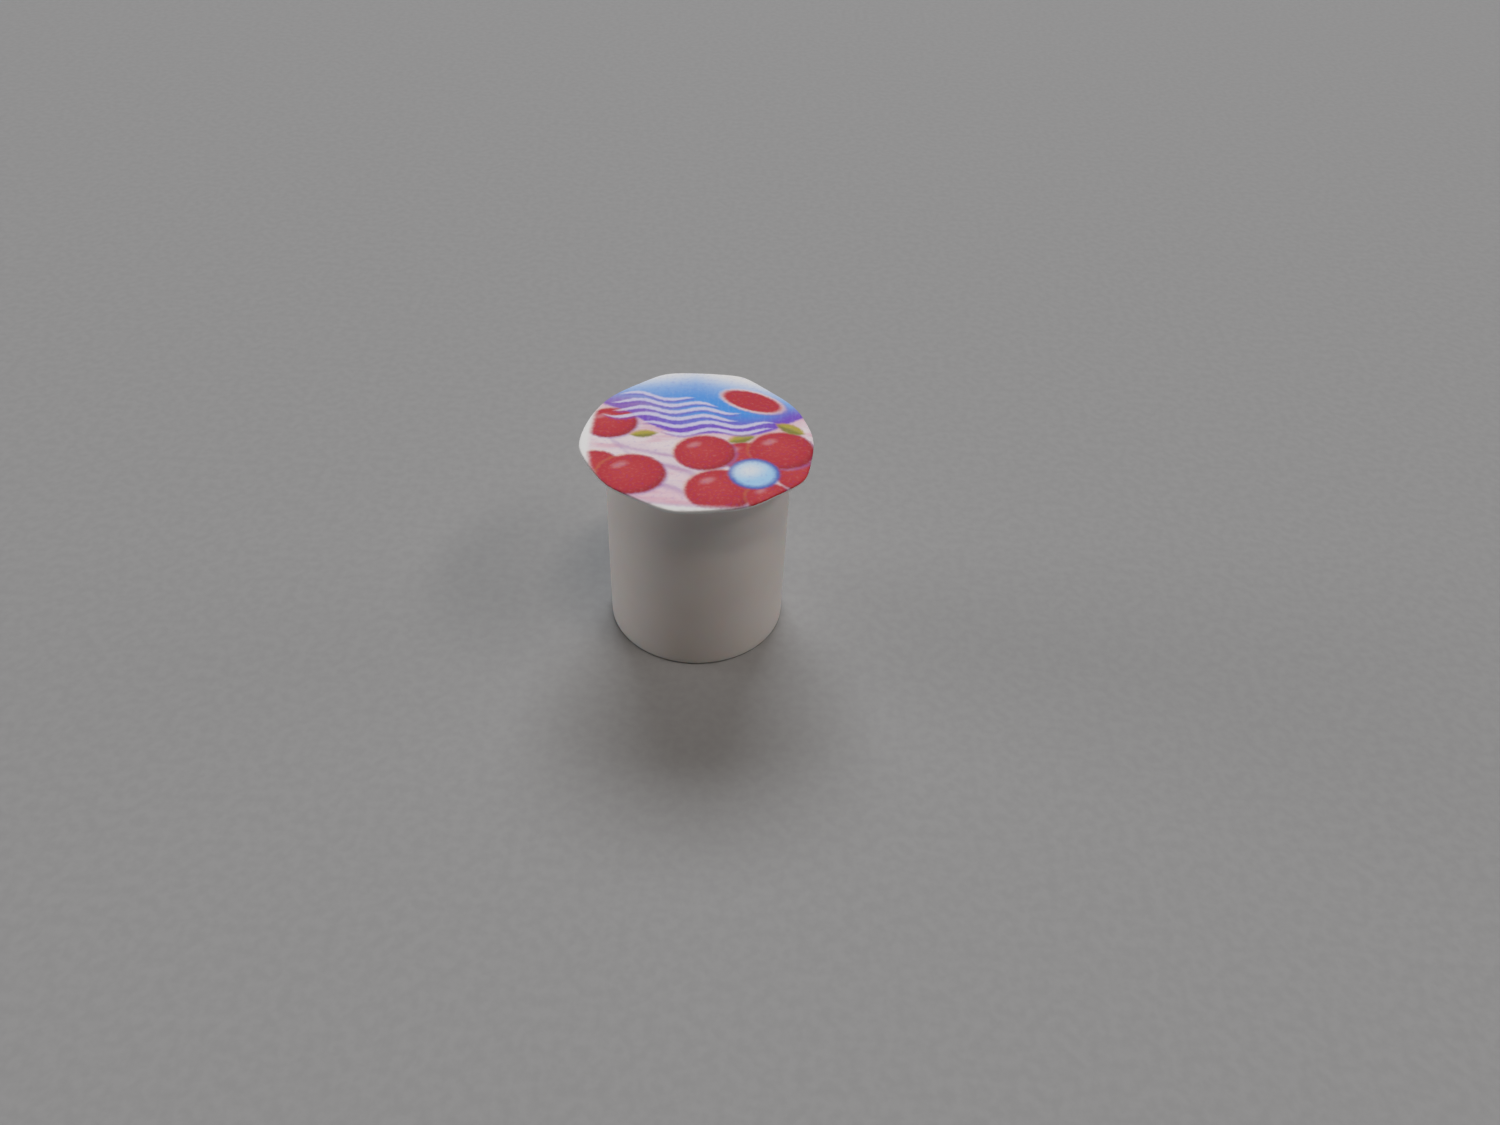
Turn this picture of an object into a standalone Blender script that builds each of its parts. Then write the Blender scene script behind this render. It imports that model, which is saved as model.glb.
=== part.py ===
"""A dollhouse yogurt pot: a solid plastic pot with a hand-cut paper lid glued on top.

Metres, +Z up. The origin is the middle of the pot's foot, and the pot's front faces -Y.
"""

import math

import bpy

MM = 0.001

# The pot is a length of straight white plastic rod, a quarter of an inch thick.
POT_DIAMETER = 6.35 * MM
POT_HEIGHT = 7.65 * MM
FOOT_ROUNDING = 0.08 * MM
RIM_ROUNDING = 0.05 * MM
POT_SIDES = 96
ROUNDING_STEPS = 5

# The lid is a paper disc, cut out with scissors in straight snips.
# A snip is the direction that it faces, in degrees, and its distance from the lid's middle.
PAPER_THICKNESS = 0.10 * MM
GLUE_GAP = 0.015 * MM
LID_SNIPS = (
    (-8, 3.90 * MM),
    (19, 3.81 * MM),
    (47, 3.80 * MM),
    (92, 3.86 * MM),
    (132, 3.84 * MM),
    (156, 3.90 * MM),
    (175, 3.93 * MM),
    (211, 3.92 * MM),
    (243, 3.86 * MM),
    (280, 3.86 * MM),
    (310, 3.93 * MM),
)
CORNER_SHARPNESS = 26
LID_POINTS = 160

# Profile points that are closer than this are one point, as at the turned pot's two poles.
SAME_POINT = 0.0001 * MM

PLASTIC_WHITE = (0.76, 0.74, 0.71)
PAPER_PRINT = (0.62, 0.44, 0.58)


def remove_everything():
    for old in list(bpy.context.scene.objects):
        bpy.data.objects.remove(old, do_unlink=True)


def new_collection(name):
    collection = bpy.data.collections.new(name)
    bpy.context.scene.collection.children.link(collection)
    return collection


def new_material(name, colour, roughness, metallic):
    material = bpy.data.materials.new(name)
    material.use_nodes = True
    shader = material.node_tree.nodes["Principled BSDF"]
    shader.inputs["Base Color"].default_value = (*colour, 1.0)
    shader.inputs["Roughness"].default_value = roughness
    shader.inputs["Metallic"].default_value = metallic
    return material


def rounding(corner_x, corner_z, radius, start, end):
    """Points of an arc of this radius, as (x, z), from one angle to another in degrees."""
    points = []
    for step in range(ROUNDING_STEPS + 1):
        angle = math.radians(start + (end - start) * step / ROUNDING_STEPS)
        points.append((corner_x + radius * math.cos(angle), corner_z + radius * math.sin(angle)))
    return points


def pot_profile():
    """The pot's half section from the middle of its top, down its side, to the middle of its foot."""
    radius = POT_DIAMETER / 2
    top = [(0.0, POT_HEIGHT)]
    rim = rounding(radius - RIM_ROUNDING, POT_HEIGHT - RIM_ROUNDING, RIM_ROUNDING, 90, 0)
    foot = rounding(radius - FOOT_ROUNDING, FOOT_ROUNDING, FOOT_ROUNDING, 0, -90)
    return top + rim + foot + [(0.0, 0.0)]


def make_pot(collection):
    """The pot: its profile, turned once round the Z axis."""
    profile = [(x, 0.0, z) for x, z in pot_profile()]
    edges = [(i, i + 1) for i in range(len(profile) - 1)]
    mesh = bpy.data.meshes.new("pot")
    mesh.from_pydata(profile, edges, [])
    mesh.materials.append(new_material("pot_plastic", PLASTIC_WHITE, 0.42, 0.0))
    pot = bpy.data.objects.new("pot", mesh)
    collection.objects.link(pot)

    turning = pot.modifiers.new("turning", "SCREW")
    turning.axis = "Z"
    turning.angle = math.tau
    turning.steps = POT_SIDES
    turning.render_steps = POT_SIDES
    turning.use_merge_vertices = True
    turning.merge_threshold = SAME_POINT
    turning.use_smooth_shade = True
    return pot


def lid_radius(angle):
    """The lid's radius at an angle: the nearest snip's line, with the corners between snips blunted.

    A snip at distance d and direction a is the line r = d / cos(angle - a). The radius joins them as
    the p-norm of all their 1 / r, with p the corners' sharpness.
    """
    total = 0.0
    for facing, distance in LID_SNIPS:
        towards = math.cos(angle - math.radians(facing))
        if towards > 0:
            total += (towards / distance) ** CORNER_SHARPNESS
    return total ** (-1 / CORNER_SHARPNESS)


def make_lid(collection):
    """The lid: its outline as a filled flat curve, thickened to the paper's thickness."""
    curve = bpy.data.curves.new("lid", "CURVE")
    curve.dimensions = "2D"
    curve.fill_mode = "BOTH"
    curve.extrude = PAPER_THICKNESS / 2
    outline = curve.splines.new("POLY")
    outline.points.add(LID_POINTS - 1)
    outline.use_cyclic_u = True
    for i, point in enumerate(outline.points):
        angle = math.tau * i / LID_POINTS
        radius = lid_radius(angle)
        point.co = (radius * math.cos(angle), radius * math.sin(angle), 0.0, 1.0)
    curve.materials.append(new_material("lid_paper", PAPER_PRINT, 0.55, 0.0))
    lid = bpy.data.objects.new("lid", curve)
    collection.objects.link(lid)
    lid.location.z = POT_HEIGHT + GLUE_GAP + PAPER_THICKNESS / 2
    return lid


def main():
    remove_everything()
    collection = new_collection("dollhouse_yogurt_pot")
    pot = make_pot(collection)
    lid = make_lid(collection)
    lid.parent = pot


main()
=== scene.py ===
"""The looks of a dollhouse yogurt pot: a satin plastic pot under a hand-cut printed paper lid.

Metres, +Z up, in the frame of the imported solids. Sizes on the lid's print are in millimetres.
"""

import math

import bpy
import numpy as np
from mathutils import Euler, Matrix, Vector


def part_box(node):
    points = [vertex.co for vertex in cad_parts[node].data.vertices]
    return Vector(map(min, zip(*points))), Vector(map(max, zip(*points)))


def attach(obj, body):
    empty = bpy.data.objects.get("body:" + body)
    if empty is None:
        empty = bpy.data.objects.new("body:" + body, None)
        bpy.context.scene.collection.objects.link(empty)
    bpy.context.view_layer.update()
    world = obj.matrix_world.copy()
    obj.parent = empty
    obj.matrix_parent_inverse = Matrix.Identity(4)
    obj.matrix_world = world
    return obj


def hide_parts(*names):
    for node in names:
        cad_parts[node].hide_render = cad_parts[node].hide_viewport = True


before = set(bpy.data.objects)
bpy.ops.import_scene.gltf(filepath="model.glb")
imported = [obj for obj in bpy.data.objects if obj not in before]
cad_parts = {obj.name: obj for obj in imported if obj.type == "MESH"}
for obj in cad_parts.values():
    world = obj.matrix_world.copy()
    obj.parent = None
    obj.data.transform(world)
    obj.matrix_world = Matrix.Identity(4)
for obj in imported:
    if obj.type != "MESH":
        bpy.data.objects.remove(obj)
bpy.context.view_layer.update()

MM = 0.001

# The camera, as fitted to the photograph's outlines of the pot and its lid
SENSOR_WIDTH = 36.0
LENS = 29.14
CAMERA_PLACE = (1.93 * MM, -33.09 * MM, 31.96 * MM)
CAMERA_PITCH = math.radians(41.97)
CAMERA_ROLL = math.radians(2.88)
NEAR_LIMIT = 0.5 * MM
FAR_LIMIT = 20.0

# Area lights: name, azimuth in degrees from +X towards +Y, elevation in degrees above the floor,
# distance, width and height, watts, colour. All face a point a little above the floor.
LIGHTS = (
    ("back", 93, 52, 2.0, (1.1, 0.8), 21.2, (0.965, 1.0, 1.03)),
    ("shoulder", 300, 73, 1.8, (0.60, 0.13), 6.0, (1.0, 0.89, 0.80)),
    ("window", 347, 50, 1.8, (0.70, 0.22), 4.0, (1.0, 0.94, 0.89)),
    ("left", 172, 12, 2.0, (0.9, 0.5), 9.8, (1.0, 0.99, 0.985)),
    ("right", 16, 12, 2.0, (0.9, 0.5), 4.6, (1.0, 0.99, 0.985)),
)
LIGHTS_AIM = 5 * MM
ROOM_COLOUR = (1.0, 0.95, 0.90)
ROOM_STRENGTH = 0.01

# The floor and the wall past its edge
FLOOR_HALF = 0.42
FLOOR_GREY = (0.345, 0.345, 0.35)
FLOOR_GREY_LIGHT = (0.37, 0.37, 0.375)
FLOOR_STEP = (0.3, 0.7)
FLOOR_ROUGHNESS = 0.8
BACKDROP_RADIUS = 0.62
BACKDROP_HEIGHT = 0.5
BACKDROP_SIDES = 64
BACKDROP_GLOW = 0.34
BLACK = (0.0, 0.0, 0.0, 1.0)
WHITE = (1.0, 1.0, 1.0, 1.0)

# The pot, from its solid
POT_LOW, POT_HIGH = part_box("pot")
POT_RADIUS = (POT_HIGH.x - POT_LOW.x) / 2
POT_TOP = POT_HIGH.z
POT_FOOT_ROUNDING = 0.08 * MM
POT_RIM_ROUNDING = 0.05 * MM
POT_WAVER = 0.006 * MM
POT_WAVER_TWIST = 0.9
POT_AROUND = 288
POT_SIDE_RINGS = 40
ROUNDING_RINGS = 7
FLAT_RINGS = 6

# The paper lid, from its solid, with the scissor snips that cut it out: the direction that each
# faces, in degrees, and its distance from the lid's middle
LID_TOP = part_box("lid")[1].z
LID_UNDER = POT_TOP + 0.003 * MM
LID_SNIPS = (
    (-8, 3.90 * MM),
    (19, 3.81 * MM),
    (47, 3.80 * MM),
    (92, 3.86 * MM),
    (132, 3.84 * MM),
    (156, 3.90 * MM),
    (175, 3.93 * MM),
    (211, 3.92 * MM),
    (243, 3.86 * MM),
    (280, 3.86 * MM),
    (310, 3.93 * MM),
)
CORNER_SHARPNESS = 26
LID_AROUND = 480
LID_FACE_RINGS = 36
LID_FACE_SPACING = 0.8
LID_EDGE_RINGS = 9
LID_SHARP_ANGLE = math.radians(50)

# The lid's cut edge, with the waves of its fray round the lid and their shift from ring to ring
CUT_UPPER_ROUNDING = 0.045 * MM
CUT_LOWER_ROUNDING = 0.012 * MM
CUT_ROUGHNESS = 0.007 * MM
FRAY_WAVES = (23, 41, 67, 97, 131)
FRAY_SHIFT = 0.25
FRAY_SEED = 11

# How the paper leaves its plane. A ripple is its waves round the lid, its phase and its share.
LID_DROOP = 0.035 * MM
LID_RIPPLE = 0.016 * MM
LID_RIPPLES = ((5, 0.0, 1.0), (3, 2.0, 1.0), (8, 1.0, 0.5))
LID_CURL = 0.05 * MM
CURL_DIRECTION = math.radians(188)
CURL_WIDTH = math.radians(26)

# Noises: the size of their lumps, their detail, their stretch along X, Y and Z, and their seed
EVEN = (1.0, 1.0, 1.0)
FLOOR_GRAIN = (0.35 * MM, 4.0, EVEN, 0.0)
PLASTIC_MOTTLE = (1.6 * MM, 3.0, EVEN, 2.0)
PLASTIC_MARKS = (0.35 * MM, 4.0, (1.0, 1.0, 2.5), 5.0)
PLASTIC_LINES = (0.06 * MM, 2.0, (1.0, 1.0, 24.0), 9.0)
# The patches of the painted shade at the pot's foot
PAINTED_FOOT_SHADE_PATCHES = (0.5 * MM, 3.0, EVEN, 14.0)
PAPER_FIBRES = (0.05 * MM, 4.0, (1.0, 2.5, 0.6), 1.0)
WANDER_X = (0.11 * MM, 2.0, EVEN, 3.0)
WANDER_Y = (0.11 * MM, 2.0, EVEN, 7.0)
SKY_STREAKS = (0.10 * MM, 1.0, (1.0, 9.0, 1.0), 12.0)
CREAM_STREAKS = (0.50 * MM, 3.0, (2.2, 0.7, 1.0), 4.0)
PRINT_MOTTLE = (0.13 * MM, 3.0, EVEN, 6.0)
PRINT_GRAIN = (0.045 * MM, 2.0, EVEN, 8.0)
SEED_SHIFT = (1.0, 0.37, 0.71)


def add_object(name, data):
    """A new object in the scene."""
    obj = bpy.data.objects.new(name, data)
    bpy.context.scene.collection.objects.link(obj)
    return obj


def camera():
    """The camera at the photograph's viewing angle, pitched down along +Y and rolled a little."""
    data = bpy.data.cameras.new("camera")
    data.sensor_width = SENSOR_WIDTH
    data.lens = LENS
    data.clip_start = NEAR_LIMIT
    data.clip_end = FAR_LIMIT
    obj = add_object("camera", data)
    pitched = Euler((math.pi / 2 - CAMERA_PITCH, 0.0, 0.0)).to_matrix()
    turned = pitched @ Matrix.Rotation(CAMERA_ROLL, 3, "Z")
    obj.matrix_world = Matrix.Translation(CAMERA_PLACE) @ turned.to_4x4()
    bpy.context.scene.camera = obj


def softbox(name, azimuth, elevation, distance, size, power, colour):
    """A rectangular area light that faces the pot from a direction and isn't seen by the camera."""
    data = bpy.data.lights.new(name, "AREA")
    data.shape = "RECTANGLE"
    data.size, data.size_y = size
    data.energy = power
    data.color = colour
    obj = add_object(name, data)
    across = math.radians(azimuth)
    up = math.radians(elevation)
    away = Vector((math.cos(up) * math.cos(across), math.cos(up) * math.sin(across), math.sin(up)))
    obj.location = Vector((0.0, 0.0, LIGHTS_AIM)) + distance * away
    obj.rotation_euler = away.to_track_quat("Z", "Y").to_euler()
    obj.visible_camera = False


def lighting():
    """A big soft light high behind the pot, a low one at each side and two wide strips in front.

    The strips, over the pot's right shoulder and from its right, draw the lid's shadow slantwise
    across the pot's front.
    """
    for light in LIGHTS:
        softbox(*light)
    world = bpy.data.worlds.new("room")
    world.use_nodes = True
    room = world.node_tree.nodes["Background"]
    room.inputs["Color"].default_value = (*ROOM_COLOUR, 1.0)
    room.inputs["Strength"].default_value = ROOM_STRENGTH
    bpy.context.scene.world = world


class Recipe:
    """A material's nodes, with short ways to add the sums, shapes and colours of a pattern."""

    def __init__(self, name):
        self.material = bpy.data.materials.new(name)
        self.material.use_nodes = True
        self.nodes = self.material.node_tree.nodes
        self.links = self.material.node_tree.links
        self.shader = self.nodes["Principled BSDF"]
        self.place = self.nodes.new("ShaderNodeTexCoord").outputs["Object"]

    def put(self, value, socket):
        """Links an output to a socket, or sets the socket to a number or colour."""
        if isinstance(value, bpy.types.NodeSocket):
            self.links.new(value, socket)
        else:
            socket.default_value = value

    def wear(self, name, value):
        """Links or sets one of the surface's inputs."""
        self.put(value, self.shader.inputs[name])

    def axes(self):
        """The X, Y and Z of the place on the piece."""
        split = self.nodes.new("ShaderNodeSeparateXYZ")
        self.put(self.place, split.inputs["Vector"])
        return split.outputs

    def number(self, operation, *values):
        """The result of a Math node."""
        node = self.nodes.new("ShaderNodeMath")
        node.operation = operation
        for value, socket in zip(values, node.inputs):
            self.put(value, socket)
        return node.outputs[0]

    def add(self, a, b):
        return self.number("ADD", a, b)

    def less(self, a, b):
        return self.number("SUBTRACT", a, b)

    def times(self, a, b):
        return self.number("MULTIPLY", a, b)

    def scale_add(self, a, factor, b):
        """a times a factor, plus b."""
        return self.number("MULTIPLY_ADD", a, factor, b)

    def ramp(self, value, start, end, top=1.0):
        """A smooth step from 0 at a start to a top at an end."""
        node = self.nodes.new("ShaderNodeMapRange")
        node.interpolation_type = "SMOOTHSTEP"
        self.put(value, node.inputs["Value"])
        self.put(start, node.inputs["From Min"])
        self.put(end, node.inputs["From Max"])
        step = node.outputs["Result"]
        return step if top == 1.0 else self.times(step, top)

    def paint(self, amount, under, over):
        """The colour under, covered with the colour over by an amount from 0 to 1."""
        node = self.nodes.new("ShaderNodeMix")
        node.data_type = "RGBA"
        self.put(amount, node.inputs["Factor"])
        for value, name in ((under, "A"), (over, "B")):
            socket = [s for s in node.inputs if s.name == name and s.type == "RGBA"][0]
            self.put((*value, 1.0) if isinstance(value, tuple) else value, socket)
        return [s for s in node.outputs if s.type == "RGBA"][0]

    def noise(self, size, detail, stretch, seed):
        """Noise from 0 to 1 with lumps of a size in metres, drawn out along the axes by stretch."""
        mapping = self.nodes.new("ShaderNodeMapping")
        self.put(self.place, mapping.inputs["Vector"])
        mapping.inputs["Scale"].default_value = tuple(1 / (size * s) for s in stretch)
        mapping.inputs["Location"].default_value = tuple(seed * s for s in SEED_SHIFT)
        node = self.nodes.new("ShaderNodeTexNoise")
        node.inputs["Scale"].default_value = 1.0
        node.inputs["Detail"].default_value = detail
        self.put(mapping.outputs["Vector"], node.inputs["Vector"])
        return node.outputs["Fac"]

    def bump(self, height, depth):
        """Relief from a height of 0 to 1 that stands for a depth in metres."""
        node = self.nodes.new("ShaderNodeBump")
        node.inputs["Strength"].default_value = 1.0
        node.inputs["Distance"].default_value = depth
        self.put(height, node.inputs["Height"])
        self.wear("Normal", node.outputs["Normal"])


# Plastic. A step is where a noise starts and ends to show, and then how strongly it does.
POT_WHITE = (0.83, 0.775, 0.745)
POT_CREAM = (0.81, 0.75, 0.715)
PLASTIC_MOTTLE_STEP = (0.35, 0.75)
PLASTIC_ROUGHNESS = 0.34
PLASTIC_ROUGHNESS_SWING = 0.18
PLASTIC_IOR = 1.5
PLASTIC_RELIEF = 0.0022 * MM
RELIEF_SHARE = 0.5

# Light that passes inside the plastic: its share, and how far its red, green and blue reach
INNER_LIGHT = 0.5
INNER_REACH = (1.0, 0.42, 0.26)
INNER_SCALE = 0.45 * MM

# Painted shade on the foot's rounded edge: patchy dark grey, darkest next to the floor where the pot
# meets it
PAINTED_FOOT_SHADE = (0.16, 0.15, 0.14)
PAINTED_FOOT_SHADE_TOP = 0.10 * MM
PAINTED_FOOT_SHADE_FULL = 0.045 * MM
PAINTED_FOOT_SHADE_STEP = (0.1, 0.5)
PAINTED_FOOT_SHADE_STRENGTH = 0.85

# Bare paper
PAPER_WHITE = (0.86, 0.86, 0.865)
PAPER_SHADE = (0.76, 0.755, 0.75)
PAPER_STEP = (0.3, 0.8)
PAPER_ROUGHNESS = 0.75
PAPER_RELIEF = 0.006 * MM


def plastic():
    """White plastic rod: satin, a little see-through, faintly mottled, with fine lines along it.

    The foot's rounded edge has painted shade: patchy dark grey, darkest next to the floor.
    """
    recipe = Recipe("pot_plastic")
    mottle = recipe.ramp(recipe.noise(*PLASTIC_MOTTLE), *PLASTIC_MOTTLE_STEP)
    colour = recipe.paint(mottle, POT_WHITE, POT_CREAM)
    # Painted shade at the foot: the colour darkens towards the floor, in noisy patches
    low = recipe.ramp(recipe.axes()["Z"], PAINTED_FOOT_SHADE_TOP, PAINTED_FOOT_SHADE_FULL)
    patchy = recipe.ramp(recipe.noise(*PAINTED_FOOT_SHADE_PATCHES), *PAINTED_FOOT_SHADE_STEP)
    painted_foot_shade = recipe.times(recipe.times(low, patchy), PAINTED_FOOT_SHADE_STRENGTH)
    recipe.wear("Base Color", recipe.paint(painted_foot_shade, colour, PAINTED_FOOT_SHADE))
    marks = recipe.noise(*PLASTIC_MARKS)
    roughness = recipe.scale_add(marks, PLASTIC_ROUGHNESS_SWING, PLASTIC_ROUGHNESS)
    recipe.wear("Roughness", roughness)
    recipe.wear("IOR", PLASTIC_IOR)
    recipe.wear("Subsurface Weight", INNER_LIGHT)
    recipe.wear("Subsurface Radius", INNER_REACH)
    recipe.wear("Subsurface Scale", INNER_SCALE)
    lines = recipe.times(recipe.noise(*PLASTIC_LINES), RELIEF_SHARE)
    recipe.bump(recipe.add(lines, recipe.times(marks, RELIEF_SHARE)), PLASTIC_RELIEF)
    return recipe.material


def bare_paper():
    """The lid's cut edge and its underside: white paper with short fibres."""
    recipe = Recipe("lid_bare_paper")
    fibres = recipe.noise(*PAPER_FIBRES)
    recipe.wear("Base Color", recipe.paint(recipe.ramp(fibres, *PAPER_STEP), PAPER_WHITE, PAPER_SHADE))
    recipe.wear("Roughness", PAPER_ROUGHNESS)
    recipe.bump(fibres, PAPER_RELIEF)
    return recipe.material


# Inks of the lid's print
SKY_PALE = (0.42, 0.60, 0.90)
SKY = (0.15, 0.38, 0.86)
SKY_DEEP = (0.06, 0.34, 0.88)
VIOLET = (0.21, 0.08, 0.62)
MAUVE = (0.40, 0.20, 0.52)
CREAM = (0.84, 0.64, 0.71)
CREAM_LIGHT = (0.85, 0.76, 0.79)
ROSE = (0.76, 0.42, 0.54)
RED = (0.56, 0.026, 0.036)
RED_DARK = (0.40, 0.012, 0.022)
CORAL = (0.68, 0.075, 0.065)
ORANGE = (0.72, 0.34, 0.09)
LEAF = (0.50, 0.42, 0.05)
LEAF_DARK = (0.27, 0.25, 0.03)
LAVENDER = (0.74, 0.72, 0.90)
ICE = (0.42, 0.68, 0.93)
ICE_DARK = (0.055, 0.13, 0.55)

# How far the inks blur, wander and miss each other, in millimetres
INK_SOFTNESS = 0.075
INK_WANDER = 0.09
FRINGE = (0.075, -0.055)


class Print(Recipe):
    """A picture on the lid, drawn with shapes whose places and sizes are in millimetres.

    A shape is given as its depth: how far inside it a point is, negative outside.
    """

    def __init__(self, name):
        super().__init__(name)
        axes = self.axes()
        self.x = self.wandering(axes["X"], WANDER_X)
        self.y = self.wandering(axes["Y"], WANDER_Y)

    def wandering(self, place, noise):
        """A place in millimetres that wanders with a noise, as the edges of a coarse print do."""
        away = self.times(self.less(self.noise(*noise), 0.5), INK_WANDER)
        return self.scale_add(place, 1 / MM, away)

    def local(self, middle, turn=0.0, unit=(1.0, 1.0)):
        """x and y measured from a point, along axes turned by degrees, in units of two sizes."""
        c = math.cos(math.radians(turn))
        s = math.sin(math.radians(turn))
        parts = []
        for along_x, along_y, size in ((c, s, unit[0]), (-s, c, unit[1])):
            start = -(middle[0] * along_x + middle[1] * along_y) / size
            rest = self.scale_add(self.y, along_y / size, start)
            parts.append(self.scale_add(self.x, along_x / size, rest))
        return parts

    def reach(self, u, v):
        """The length of (u, v)."""
        return self.number("SQRT", self.scale_add(u, u, self.times(v, v)))

    def oval(self, middle, half, turn=0.0):
        """An oval's depth: (1 - its reach in units of its half sizes) times the smaller of them."""
        scale = min(half)
        return self.scale_add(self.reach(*self.local(middle, turn, half)), -scale, scale)

    def squircle(self, middle, half, power):
        """A rounded square's depth: half - (|x|^p + |y|^p)^(1/p)."""
        shares = []
        for part in self.local(middle):
            shares.append(self.number("POWER", self.number("ABSOLUTE", part), power))
        return self.less(half, self.number("POWER", self.add(*shares), 1 / power))

    def leaf(self, middle, length, width, turn):
        """A pointed leaf's depth: the overlap of two equal discs, length from tip to tip."""
        half = length / 2
        radius = (half * half + width * width / 4) / width
        out = radius - width / 2
        u, v = self.local(middle, turn)
        below = self.reach(u, self.add(v, out))
        above = self.reach(u, self.less(v, out))
        return self.less(radius, self.number("MAXIMUM", below, above))

    def wave(self, middle, turn, length, height, bends, phase, width):
        """The depth of a line along v = height sin(bends u + phase), length long.

        Its half width tapers as width / 2 (1 - (2 u / length)^6).
        """
        u, v = self.local(middle, turn)
        swing = self.number("SINE", self.scale_add(u, bends, phase))
        away = self.number("ABSOLUTE", self.scale_add(swing, -height, v))
        share = self.number("POWER", self.times(u, 2 / length), 6.0)
        return self.less(self.scale_add(share, -width / 2, width / 2), away)

    def ink(self, depth, softness=INK_SOFTNESS, strength=1.0):
        """Cover across a shape's edge, from 0 to a strength."""
        return self.ramp(depth, -softness, softness, strength)


def shifted(place, shift, share=1.0):
    """A place on the print, moved by a share of a shift."""
    return place[0] + share * shift[0], place[1] + share * shift[1]


def scaled(pair, factor):
    return pair[0] * factor, pair[1] * factor


# From here, a name that ends in INK is the softness of a shape's edge and the ink's strength, one
# in FADE or STEP is where a ramp starts and ends, and then its top where that isn't 1.

# The horizon, where the sky meets the cream
HORIZON_LOWEST = 0.35
HORIZON_STEEPNESS = 0.115
HORIZON_HEIGHT = 0.12
HORIZON_RIPPLE = 0.12
HORIZON_BENDS = 2.1
HORIZON_PHASE = 0.4
HORIZON_INK = (0.10, 1.0)


def horizon(art):
    """Height above the line where the sky meets the cream: a shallow bowl with a small ripple.

    The line is y = steepness (x - lowest)^2 + ripple sin(bends x + phase) + height.
    """
    bowl = art.number("POWER", art.less(art.x, HORIZON_LOWEST), 2.0)
    swing = art.number("SINE", art.scale_add(art.x, HORIZON_BENDS, HORIZON_PHASE))
    rippled = art.scale_add(swing, HORIZON_RIPPLE, HORIZON_HEIGHT)
    return art.less(art.y, art.scale_add(bowl, HORIZON_STEEPNESS, rippled))


# The sky. A patch is an oval's middle, half sizes and turn. The far rim pales along a line that
# bends down by a slope on both sides of a middle.
DEEP_PATCH = ((1.0, 1.35), (2.2, 1.0), -8)
DEEP_INK = (0.9, 1.0)
VIOLET_FADE = (1.35, 0.15)
MAUVE_PATCH = ((-2.3, 1.75), (1.3, 0.5), -12)
MAUVE_INK = (0.45, 0.7)
FAR_MIDDLE = -0.3
FAR_SLOPE = 0.25
PALE_FADE = (2.3, 3.7)
WHITE_FADE = (3.0, 4.1)
SKY_STREAKS_STEP = (0.45, 0.75, 0.12)


def sky(art, above):
    """Blue that pales to white at the far rim and turns violet at the horizon, with fine streaks."""
    colour = art.paint(art.ink(art.oval(*DEEP_PATCH), *DEEP_INK), SKY, SKY_DEEP)
    colour = art.paint(art.ramp(above, *VIOLET_FADE), colour, VIOLET)
    colour = art.paint(art.ink(art.oval(*MAUVE_PATCH), *MAUVE_INK), colour, MAUVE)
    aside = art.number("ABSOLUTE", art.less(art.x, FAR_MIDDLE))
    far = art.scale_add(aside, FAR_SLOPE, art.y)
    colour = art.paint(art.ramp(far, *PALE_FADE), colour, SKY_PALE)
    streaks = art.ramp(art.noise(*SKY_STREAKS), *SKY_STREAKS_STEP)
    colour = art.paint(streaks, colour, SKY_PALE)
    return art.paint(art.ramp(far, *WHITE_FADE), colour, PAPER_WHITE)


# The cream and its folds: middle, turn, length, height, bends for each millimetre, phase, width
FOLDS = (
    ((-1.35, -0.80), -24, 3.4, 0.16, 1.7, 0.2, 0.42),
    ((-0.45, -1.75), -30, 4.2, 0.20, 1.5, 1.2, 0.38),
    ((-0.55, -2.75), -22, 3.8, 0.16, 1.8, 2.0, 0.36),
)
FOLD_INK = (0.12, 0.8)
FOLD_SHADE = (0.06, -0.22)
FOLD_SHADE_INK = (0.20, 0.55)
CREAM_FADE = (-1.2, -3.4)
CREAM_STREAKS_STEP = (0.48, 0.72, 0.6)
ROSE_FADE = (-0.6, 0.0, 0.5)


def cream(art, above):
    """Pale pink cream, stirred into long soft folds with mauve shade under them."""
    colour = art.paint(art.ramp(art.y, *CREAM_FADE), CREAM_LIGHT, CREAM)
    streaks = art.ramp(art.noise(*CREAM_STREAKS), *CREAM_STREAKS_STEP)
    colour = art.paint(streaks, colour, ROSE)
    for middle, *shape in FOLDS:
        shade = art.wave(shifted(middle, FOLD_SHADE), *shape)
        colour = art.paint(art.ink(shade, *FOLD_SHADE_INK), colour, MAUVE)
        colour = art.paint(art.ink(art.wave(middle, *shape), *FOLD_INK), colour, CREAM_LIGHT)
    return art.paint(art.ramp(above, *ROSE_FADE), colour, ROSE)


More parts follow.
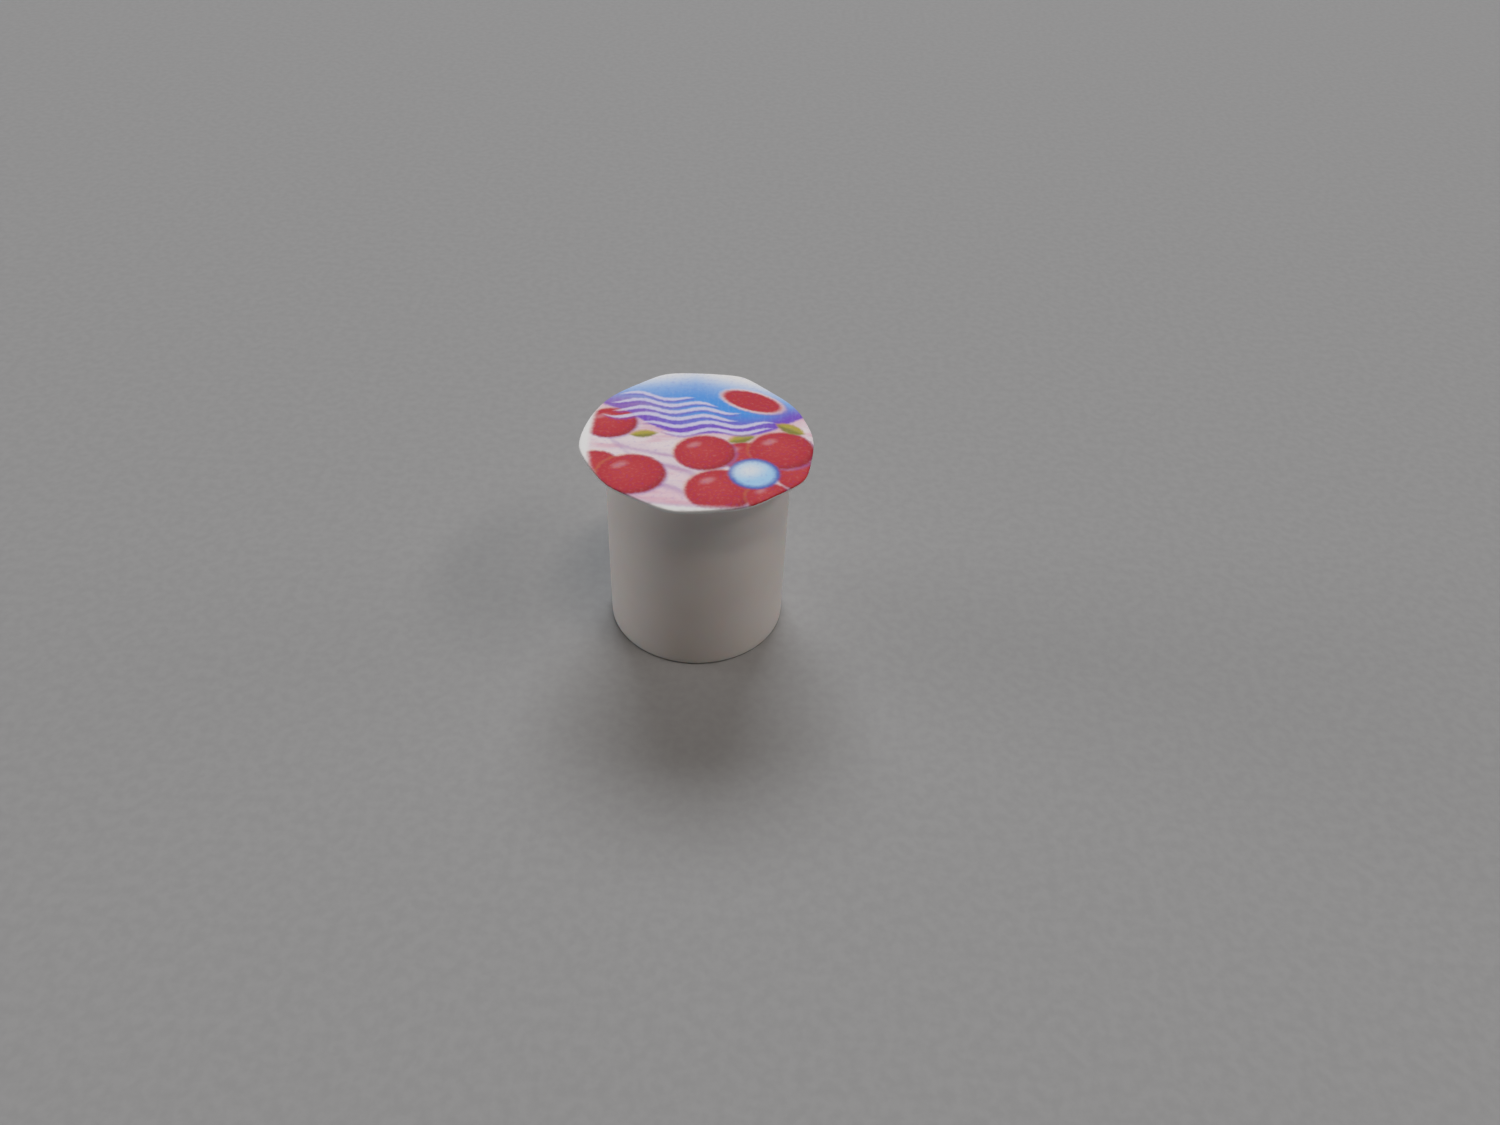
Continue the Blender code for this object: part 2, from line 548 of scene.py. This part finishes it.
# The berries: middle, radius. The places, sizes and fades on a berry are in shares of its radius.
BERRIES = (
    ((-3.05, 0.55), 0.92),
    ((-3.30, -1.85), 0.85),
    ((-2.05, -2.20), 1.12),
    ((1.55, -0.95), 0.80),
    ((0.25, -0.88), 1.02),
    ((3.45, -1.80), 0.85),
    ((2.80, -0.55), 1.10),
    ((0.85, -2.80), 1.12),
    ((2.45, -3.05), 0.75),
)
BERRY_HALF = (1.0, 0.92)
BERRY_TURN = 10
BERRY_ORANGE_INK = (0.07, 0.32)
BERRY_MAUVE_INK = (0.09, 0.6)
LIT_SHIFT = (-0.16, 0.14)
LIT_HALF = (0.95, 0.87)
LIT_FADE = (-0.22, 0.06)
CORAL_FADE = (0.05, 0.75)
CORAL_STRENGTH = 0.4
SHINE_SHIFT = (-0.38, 0.40)
SHINE_HALF = (0.22, 0.12)
SHINE_TURN = 32
SHINE_INK = (0.09, 0.3)


def berry(art, colour, middle, radius):
    """A round red berry: coral where it faces the light, dark behind, with fringes of two inks."""
    half = scaled(BERRY_HALF, radius)
    orange = art.oval(shifted(middle, FRINGE, -1.0), half, BERRY_TURN)
    colour = art.paint(art.ink(orange, *BERRY_ORANGE_INK), colour, ORANGE)
    mauve = art.oval(shifted(middle, FRINGE), half, BERRY_TURN)
    colour = art.paint(art.ink(mauve, *BERRY_MAUVE_INK), colour, MAUVE)
    lit = art.oval(shifted(middle, LIT_SHIFT, radius), scaled(LIT_HALF, radius), BERRY_TURN)
    skin = art.paint(art.ramp(lit, *scaled(LIT_FADE, radius)), RED_DARK, RED)
    skin = art.paint(art.ramp(lit, *scaled(CORAL_FADE, radius), CORAL_STRENGTH), skin, CORAL)
    shine = art.oval(shifted(middle, SHINE_SHIFT, radius), scaled(SHINE_HALF, radius), SHINE_TURN)
    skin = art.paint(art.ink(shine, *SHINE_INK), skin, CREAM)
    return art.paint(art.ink(art.oval(middle, half, BERRY_TURN)), colour, skin)


# The leaves: middle, length, width, turn
LEAVES = (
    ((3.10, 0.66), 1.05, 0.48, -28),
    ((1.45, -0.02), 0.95, 0.42, 24),
    ((-1.85, 0.00), 0.90, 0.38, 12),
)
LEAF_FADE = (0.08, -0.10)
LEAF_FRINGE_INK = (0.06, 0.6)


def leaf(art, colour, middle, length, width, turn):
    """A leaf with a darker lower half."""
    upwards = art.local(middle, turn)[1]
    blade = art.paint(art.ramp(upwards, *LEAF_FADE), LEAF, LEAF_DARK)
    fringe = art.leaf(shifted(middle, FRINGE, -1.0), length, width, turn)
    colour = art.paint(art.ink(fringe, *LEAF_FRINGE_INK), colour, ORANGE)
    return art.paint(art.ink(art.leaf(middle, length, width, turn)), colour, blade)


# The ripples: middle, turn, length, width. All have one height and bends for each millimetre.
RIPPLES = (
    ((-1.60, 2.26), -5, 2.5, 0.17),
    ((-1.30, 1.87), -1, 3.6, 0.19),
    ((-0.85, 1.48), 2, 4.3, 0.20),
    ((-1.05, 1.08), 1, 4.5, 0.20),
    ((0.25, 0.72), 4, 4.5, 0.20),
    ((0.60, 0.34), 6, 3.7, 0.18),
)
RIPPLE_HEIGHT = 0.13
RIPPLE_BENDS = 3.1
RIPPLE_INK = (0.06, 0.92)
RIPPLE_SHADE = (0.05, -0.10)
RIPPLE_SHADE_INK = (0.08, 0.55)


def ripple(art, colour, middle, turn, length, width):
    """A pale wavy line with a violet shade under it, in step with the other ripples."""
    phase = RIPPLE_BENDS * middle[0] + middle[1]
    shape = (turn, length, RIPPLE_HEIGHT, RIPPLE_BENDS, phase, width)
    shade = art.wave(shifted(middle, RIPPLE_SHADE), *shape)
    colour = art.paint(art.ink(shade, *RIPPLE_SHADE_INK), colour, VIOLET)
    return art.paint(art.ink(art.wave(middle, *shape), *RIPPLE_INK), colour, LAVENDER)


TAG_MIDDLE = (1.72, 2.22)
TAG_TURN = -22
TAG_RIM = (1.20, 0.62)
TAG_FIELD = (1.10, 0.53)
TAG_FRINGE_INK = (0.08, 0.8)


def tag(art, colour):
    """A plain red oval with a pale rim."""
    fringe = art.oval(shifted(TAG_MIDDLE, FRINGE), TAG_RIM, TAG_TURN)
    colour = art.paint(art.ink(fringe, *TAG_FRINGE_INK), colour, MAUVE)
    colour = art.paint(art.ink(art.oval(TAG_MIDDLE, TAG_RIM, TAG_TURN)), colour, CREAM_LIGHT)
    return art.paint(art.ink(art.oval(TAG_MIDDLE, TAG_FIELD, TAG_TURN)), colour, RED)


ROUNDEL_MIDDLE = (1.92, -1.88)
ROUNDEL_RIM = (0.84, 0.80)
ROUNDEL_RIM_INK = (0.08, 1.0)
ROUNDEL_FIELD = (0.70, 0.66)
ROUNDEL_FIELD_INK = (0.13, 1.0)
ROUNDEL_GLOW = ((1.76, -1.70), (0.46, 0.34), 20)
ROUNDEL_GLOW_INK = (0.30, 0.8)


def roundel(art, colour):
    """A plain pale blue disc with a white glow in it and a dark blue rim."""
    rim = art.oval(ROUNDEL_MIDDLE, ROUNDEL_RIM)
    colour = art.paint(art.ink(rim, *ROUNDEL_RIM_INK), colour, ICE_DARK)
    field = art.oval(ROUNDEL_MIDDLE, ROUNDEL_FIELD)
    colour = art.paint(art.ink(field, *ROUNDEL_FIELD_INK), colour, ICE)
    return art.paint(art.ink(art.oval(*ROUNDEL_GLOW), *ROUNDEL_GLOW_INK), colour, PAPER_WHITE)


# The printed field on the lid and its finish
PRINT_MIDDLE = (0.22, 0.20)
PRINT_HALF = 3.84
PRINT_SQUARENESS = 3.0
PRINT_INK = (0.13, 1.0)
PRINT_FRINGE_INK = (0.09, 0.4)
PALE_MOTTLE_STEP = (0.45, 0.85, 0.12)
DARK_MOTTLE_STEP = (0.52, 0.15, 0.22)
PRINT_ROUGHNESS = 0.50
PRINT_ROUGHNESS_SWING = 0.12
PRINT_IOR = 1.45
PRINT_SHINE = 0.22
PRINT_RELIEF = 0.0018 * MM


def printed_paper():
    """The lid's face: a soft, coarse print on satin paper that misses the rim at the left."""
    art = Print("lid_print")
    above = horizon(art)
    colour = art.paint(art.ink(above, *HORIZON_INK), cream(art, above), sky(art, above))
    for values in BERRIES:
        colour = berry(art, colour, *values)
    for values in LEAVES:
        colour = leaf(art, colour, *values)
    for values in RIPPLES:
        colour = ripple(art, colour, *values)
    colour = roundel(art, tag(art, colour))
    mottle = art.noise(*PRINT_MOTTLE)
    colour = art.paint(art.ramp(mottle, *PALE_MOTTLE_STEP), colour, CREAM)
    colour = art.paint(art.ramp(mottle, *DARK_MOTTLE_STEP), colour, VIOLET)
    fringe = art.squircle(shifted(PRINT_MIDDLE, FRINGE), PRINT_HALF, PRINT_SQUARENESS)
    paper = art.paint(art.ink(fringe, *PRINT_FRINGE_INK), PAPER_WHITE, MAUVE)
    field = art.squircle(PRINT_MIDDLE, PRINT_HALF, PRINT_SQUARENESS)
    art.wear("Base Color", art.paint(art.ink(field, *PRINT_INK), paper, colour))
    grain = art.noise(*PRINT_GRAIN)
    art.wear("Roughness", art.scale_add(grain, PRINT_ROUGHNESS_SWING, PRINT_ROUGHNESS))
    art.wear("IOR", PRINT_IOR)
    art.wear("Specular IOR Level", PRINT_SHINE)
    art.bump(grain, PRINT_RELIEF)
    return art.material


def floor_finish():
    """A plain pale matt surface with a barely visible grain."""
    recipe = Recipe("floor")
    grain = recipe.ramp(recipe.noise(*FLOOR_GRAIN), *FLOOR_STEP)
    recipe.wear("Base Color", recipe.paint(grain, FLOOR_GREY, FLOOR_GREY_LIGHT))
    recipe.wear("Roughness", FLOOR_ROUGHNESS)
    return recipe.material


def backdrop_finish():
    """A plain even glow."""
    recipe = Recipe("backdrop")
    recipe.wear("Base Color", BLACK)
    recipe.wear("Specular IOR Level", 0.0)
    recipe.wear("Emission Color", WHITE)
    recipe.wear("Emission Strength", BACKDROP_GLOW)
    return recipe.material


def ring_mesh(name, rings, materials, face_rings=0):
    """A closed surface through rings of points, from the highest to the lowest.

    rings holds (ring, place round it, xyz). The first and last rings are poles, each one point
    repeated. Faces above the ring numbered face_rings wear the second material, if there is one.
    """
    around = rings.shape[1]
    between = rings[1:-1]
    points = np.concatenate([rings[:1, 0], between.reshape(-1, 3), rings[-1:, 0]])
    here = np.arange(around)
    following = (here + 1) % around
    start = 1 + around * np.arange(len(between) - 1)[:, None]
    below = start + around
    quads = np.stack([start + here, below + here, below + following, start + following], -1)
    top = np.stack([np.zeros(around, int), 1 + here, 1 + following], -1)
    last = 1 + around * (len(between) - 1)
    foot = np.stack([np.full(around, len(points) - 1), last + following, last + here], -1)
    mesh = bpy.data.meshes.new(name)
    faces = [*top.tolist(), *quads.reshape(-1, 4).tolist(), *foot.tolist()]
    mesh.from_pydata(points.tolist(), [], faces)
    for material in materials:
        mesh.materials.append(material)
    if face_rings:
        index = (np.arange(len(faces)) < around * face_rings).astype(np.int32)
        mesh.polygons.foreach_set("material_index", index)
    mesh.update()
    mesh.shade_smooth()
    return add_object(name, mesh)


def quarter(radius, start, end):
    """Offsets (outwards, upwards) of a quarter circle from a start to an end angle in degrees."""
    angle = np.radians(np.linspace(start, end, ROUNDING_RINGS))
    return radius * np.stack([np.cos(angle), np.sin(angle)], -1)


def pot_section():
    """The pot's half section, as (radius, height).

    It runs along the flat top, round the rim by a quarter circle, down the straight side, round the
    foot by a quarter circle and back to the middle.
    """
    rim_radius = POT_RADIUS - POT_RIM_ROUNDING
    rim_height = POT_TOP - POT_RIM_ROUNDING
    foot_radius = POT_RADIUS - POT_FOOT_ROUNDING
    top = np.linspace(0, rim_radius, FLAT_RINGS, endpoint=False)
    side = np.linspace(rim_height, POT_FOOT_ROUNDING, POT_SIDE_RINGS)[1:-1]
    foot = np.linspace(foot_radius, 0, FLAT_RINGS + 1)[1:]
    return np.concatenate([
        np.stack([top, np.full_like(top, POT_TOP)], -1),
        quarter(POT_RIM_ROUNDING, 90, 0) + (rim_radius, rim_height),
        np.stack([np.full_like(side, POT_RADIUS), side], -1),
        quarter(POT_FOOT_ROUNDING, 0, -90) + (foot_radius, POT_FOOT_ROUNDING),
        np.stack([foot, np.zeros_like(foot)], -1),
    ])


def pot_piece():
    """The pot: its half section, turned round the Z axis.

    The radius of the side at angle a and height z is out by
    POT_WAVER (sin(2a + 1) + sin(3a + POT_WAVER_TWIST z / mm) / 2) sin(pi z / top).
    """
    section = pot_section()
    radius = section[:, :1]
    height = section[:, 1:]
    angle = np.linspace(0, math.tau, POT_AROUND, endpoint=False)[None, :]
    swing = np.sin(2 * angle + 1) + np.sin(3 * angle + POT_WAVER_TWIST * height / MM) / 2
    waver = POT_WAVER * swing * np.sin(math.pi * height / POT_TOP) * (radius / POT_RADIUS)
    radius = radius + waver
    rings = np.stack([radius * np.cos(angle), radius * np.sin(angle), height + 0 * angle], -1)
    pot = ring_mesh("pot_body", rings, [plastic()])
    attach(pot, "root")
    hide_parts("pot")


def lid_radius(angle):
    """The lid's radius at each angle: (sum of (cos(angle - a) / d)^p)^(-1/p) over its snips (a, d).

    A snip is the straight line r = d / cos(angle - a). The sum keeps the nearest one and blunts the
    corners between them, less for a larger p.
    """
    total = np.zeros_like(angle)
    for facing, distance in LID_SNIPS:
        towards = np.cos(angle - math.radians(facing)).clip(0)
        total += (towards / distance) ** CORNER_SHARPNESS
    return total ** (-1 / CORNER_SHARPNESS)


def paper_lift(angle, reach):
    """How far the paper leaves its plane beyond the pot's rim: a droop, ripples and one curled tip.

    With t the share of the way from the rim to the paper's edge and b the angle from the curl's
    direction, the lift is t^2 (curl e^(-(b / width)^2) - droop + ripple (sum of share
    sin(waves angle + phase) over its ripples)).
    """
    edge = lid_radius(angle)
    share = ((reach - POT_RADIUS) / (edge - POT_RADIUS)).clip(0, 1)
    away = (angle - CURL_DIRECTION) / CURL_WIDTH
    ripples = sum(part * np.sin(waves * angle + phase) for waves, phase, part in LID_RIPPLES)
    return share**2 * (LID_CURL * np.exp(-(away**2)) - LID_DROOP + LID_RIPPLE * ripples)


def cut_fray(angle, rings):
    """Small waves of a scissor cut in the paper's edge, a little shifted at each ring of the edge."""
    random = np.random.default_rng(FRAY_SEED)
    fray = np.zeros((rings, angle.size))
    for waves in FRAY_WAVES:
        shift = random.uniform(0, math.tau, (rings, 1)) * FRAY_SHIFT
        phase = shift + random.uniform(0, math.tau)
        fray += np.sin(waves * angle + phase) / len(FRAY_WAVES)
    return fray


def lid_piece():
    """The lid: a face, a cut edge and an underside over the snipped outline.

    A point of the face is s lid_radius(angle) along its angle, with s from 0 to 1, at the paper's
    height plus paper_lift. The scissors rounded the edge's upper corner, print and all, by a
    quarter circle. A straight wall and a smaller quarter circle lead on to the underside.
    """
    angle = np.linspace(0, math.tau, LID_AROUND, endpoint=False)[None, :]
    outline = lid_radius(angle)
    share = np.linspace(0, 1, LID_FACE_RINGS)[:, None] ** LID_FACE_SPACING
    upper_middle = (-CUT_UPPER_ROUNDING, LID_TOP - CUT_UPPER_ROUNDING)
    lower_middle = (-CUT_LOWER_ROUNDING, LID_UNDER + CUT_LOWER_ROUNDING)
    upper = quarter(CUT_UPPER_ROUNDING, 90, 0)[1:] + upper_middle
    lower = quarter(CUT_LOWER_ROUNDING, 0, -90)[:-1] + lower_middle
    wall = np.linspace(upper[-1, 1], lower[0, 1], LID_EDGE_RINGS)[1:-1]
    edge = np.concatenate([upper, np.stack([0 * wall, wall], -1), lower])
    fray = CUT_ROUGHNESS * (cut_fray(angle, len(edge)) - 1)
    reach = np.concatenate([
        share * (outline - CUT_UPPER_ROUNDING),
        outline + edge[:, :1] + fray,
        share[::-1] * (outline - CUT_LOWER_ROUNDING),
    ])
    face = np.full_like(share, LID_TOP)
    underside = np.full_like(share, LID_UNDER)
    plane = np.concatenate([face, edge[:, 1:], underside])
    height = plane + paper_lift(angle + 0 * reach, reach)
    rings = np.stack([reach * np.cos(angle), reach * np.sin(angle), height], -1)
    printed = LID_FACE_RINGS + len(upper) - 1
    lid = ring_mesh("paper_lid", rings, [bare_paper(), printed_paper()], printed)
    lid.data.set_sharp_from_angle(angle=LID_SHARP_ANGLE)
    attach(lid, "root")
    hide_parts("lid")


def floor():
    """A plain pale floor, far wider than the view."""
    corners = [(x * FLOOR_HALF, y * FLOOR_HALF, 0) for x, y in ((-1, -1), (1, -1), (1, 1), (-1, 1))]
    mesh = bpy.data.meshes.new("floor")
    mesh.from_pydata(corners, [], [(0, 1, 2, 3)])
    mesh.materials.append(floor_finish())
    obj = add_object("floor", mesh)


def backdrop():
    """A pale wall all round, past the floor's edge, which only the camera sees.

    It is a ring of radius BACKDROP_RADIUS, from BACKDROP_HEIGHT below the floor to as far above it.
    """
    angle = np.linspace(0, math.tau, BACKDROP_SIDES, endpoint=False)
    ring = BACKDROP_RADIUS * np.stack([np.cos(angle), np.sin(angle), 0 * angle], -1)
    rise = np.array((0.0, 0.0, BACKDROP_HEIGHT))
    here = np.arange(BACKDROP_SIDES)
    following = (here + 1) % BACKDROP_SIDES
    faces = np.stack([here, here + BACKDROP_SIDES, following + BACKDROP_SIDES, following], -1)
    mesh = bpy.data.meshes.new("backdrop")
    mesh.from_pydata(np.concatenate([ring - rise, ring + rise]).tolist(), [], faces.tolist())
    mesh.materials.append(backdrop_finish())
    obj = add_object("backdrop", mesh)
    obj.visible_diffuse = False
    obj.visible_glossy = False
    obj.visible_transmission = False
    obj.visible_shadow = False


bpy.context.scene.view_settings.view_transform = "Standard"
camera()
lighting()
floor()
backdrop()
pot_piece()
lid_piece()
